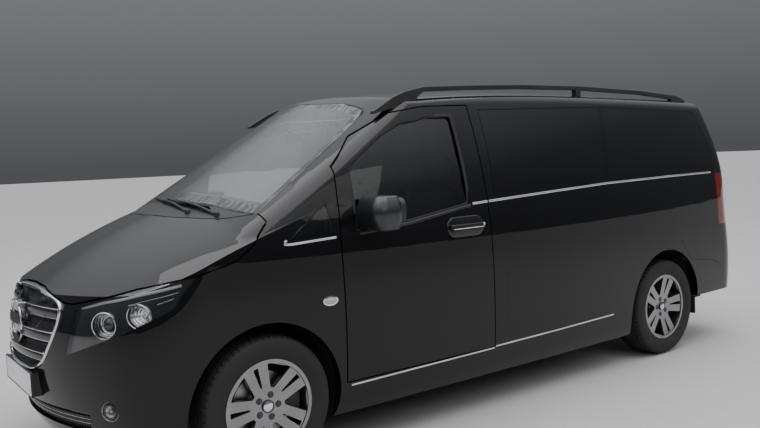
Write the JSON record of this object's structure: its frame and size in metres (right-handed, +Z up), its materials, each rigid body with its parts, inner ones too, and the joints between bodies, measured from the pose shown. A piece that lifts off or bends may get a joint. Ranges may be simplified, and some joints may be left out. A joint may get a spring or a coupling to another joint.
{
  "type": "hearse",
  "caption": "Black panel-van hearse with glazed load space, hinged doors, bonnet and tailgate, steered front wheels and alloy rims.",
  "frame": {"origin": "on the ground below the centre of the whole vehicle", "axes": "+X forward, +Y to the vehicle left, +Z up"},
  "size_m": [5.14, 2.244, 1.9112],
  "materials": {
    "paint": "gloss",
    "trim": "satin",
    "grille": "gloss",
    "screen": "clear",
    "privacy": "clear",
    "lamp": "clear",
    "bezel": "gloss",
    "tail": "clear",
    "chassis": "satin",
    "iron": "rough",
    "steel": "satin",
    "alloy": "satin",
    "tyre": "matte",
    "plastic": "matte",
    "leather": "satin",
    "panel": "matte",
    "wood": "satin",
    "rubber": "matte"
  },
  "bodies": {
    "chassis": {"body_side_left": "paint", "body_side_right": "paint", "sliding_door_right": "paint", "roof_panel": "paint", "floor_pan": "chassis", "firewall": "chassis", "rear_housings": "chassis", "frame_rails": "chassis", "front_wing_left": "paint", "front_wing_right": "paint", "front_bumper": "paint", "grille": "grille", "windscreen": "screen", "cowl": "trim", "quarter_glass": "privacy", "rear_bumper": "paint", "roof_rails": "trim", "front_frame": "chassis", "engine_block": "iron", "front_suspension": "chassis", "rear_axle": "chassis", "fuel_tank": "plastic", "exhaust": "steel", "mudflaps": "rubber", "bulkhead": "panel", "load_deck": "wood", "dashboard": "plastic", "headlamps": "bezel", "headlamp_lenses": "lamp", "tail_lamps": "tail", "side_glass": "privacy", "seat_bases": "plastic", "seat_pads": "leather", "seat_backs": "leather", "headrests": "leather"},
    "door_left_body": {"door_left": "paint", "door_glass_left": "screen", "mirror_left": "trim"},
    "door_right_body": {"door_right": "paint", "door_glass_right": "screen", "mirror_right": "trim"},
    "bonnet_body": {"bonnet": "paint"},
    "tailgate_body": {"tailgate": "paint", "tailgate_glass": "privacy"},
    "steering_wheel_body": {"steering_wheel": "leather"},
    "knuckle_left_body": {"knuckle_left": "iron"},
    "knuckle_right_body": {"knuckle_right": "iron"},
    "wheel_front_left": {"tyre_front_left": "tyre", "rim_front_left": "alloy", "brake_disc_front_left": "steel"},
    "wheel_front_right": {"tyre_front_right": "tyre", "rim_front_right": "alloy", "brake_disc_front_right": "steel"},
    "wheel_rear_left": {"tyre_rear_left": "tyre", "rim_rear_left": "alloy", "brake_disc_rear_left": "steel"},
    "wheel_rear_right": {"tyre_rear_right": "tyre", "rim_rear_right": "alloy", "brake_disc_rear_right": "steel"}
  },
  "joints": [
    {"name": "steer_left", "type": "hinge", "parent": "chassis", "child": "knuckle_left_body", "pos_m": [1.675, 0.76, 0.3395], "axis": [0, 0, 1], "range_deg": [-35, 35]},
    {"name": "steer_right", "type": "hinge", "parent": "chassis", "child": "knuckle_right_body", "pos_m": [1.675, -0.76, 0.3395], "axis": [0, 0, 1], "range_deg": [-35, 35]},
    {"name": "wheel_front_left_spin", "type": "hinge", "parent": "knuckle_left_body", "child": "wheel_front_left", "pos_m": [1.675, 0.833, 0.3395], "axis": [0, 1, 0], "continuous": true},
    {"name": "wheel_front_right_spin", "type": "hinge", "parent": "knuckle_right_body", "child": "wheel_front_right", "pos_m": [1.675, -0.833, 0.3395], "axis": [0, 1, 0], "continuous": true},
    {"name": "wheel_rear_left_spin", "type": "hinge", "parent": "chassis", "child": "wheel_rear_left", "pos_m": [-1.525, 0.823, 0.3395], "axis": [0, 1, 0], "continuous": true},
    {"name": "wheel_rear_right_spin", "type": "hinge", "parent": "chassis", "child": "wheel_rear_right", "pos_m": [-1.525, -0.823, 0.3395], "axis": [0, 1, 0], "continuous": true},
    {"name": "steering_wheel_turn", "type": "hinge", "parent": "chassis", "child": "steering_wheel_body", "pos_m": [0.88, 0.43, 1.075], "axis": [-0.891, 0, 0.454], "range_deg": [-560, 560]},
    {"name": "door_left_hinge", "type": "hinge", "parent": "chassis", "child": "door_left_body", "pos_m": [1.2315, 0.955, 0.9], "axis": [0, 0, -1], "range_deg": [0, 68]},
    {"name": "door_right_hinge", "type": "hinge", "parent": "chassis", "child": "door_right_body", "pos_m": [1.2315, -0.955, 0.9], "axis": [0, 0, 1], "range_deg": [0, 68]},
    {"name": "bonnet_hinge", "type": "hinge", "parent": "chassis", "child": "bonnet_body", "pos_m": [1.66, 0, 1.26], "axis": [0, -1, 0], "range_deg": [0, 55]},
    {"name": "tailgate_hinge", "type": "hinge", "parent": "chassis", "child": "tailgate_body", "pos_m": [-2.2385, 0, 1.866], "axis": [0, 1, 0], "range_deg": [0, 85]}
  ],
  "couplings": [
    {"joint": "steer_right", "follows": "steer_left", "ratio": 1},
    {"joint": "steering_wheel_turn", "follows": "steer_left", "ratio": 16}
  ]
}
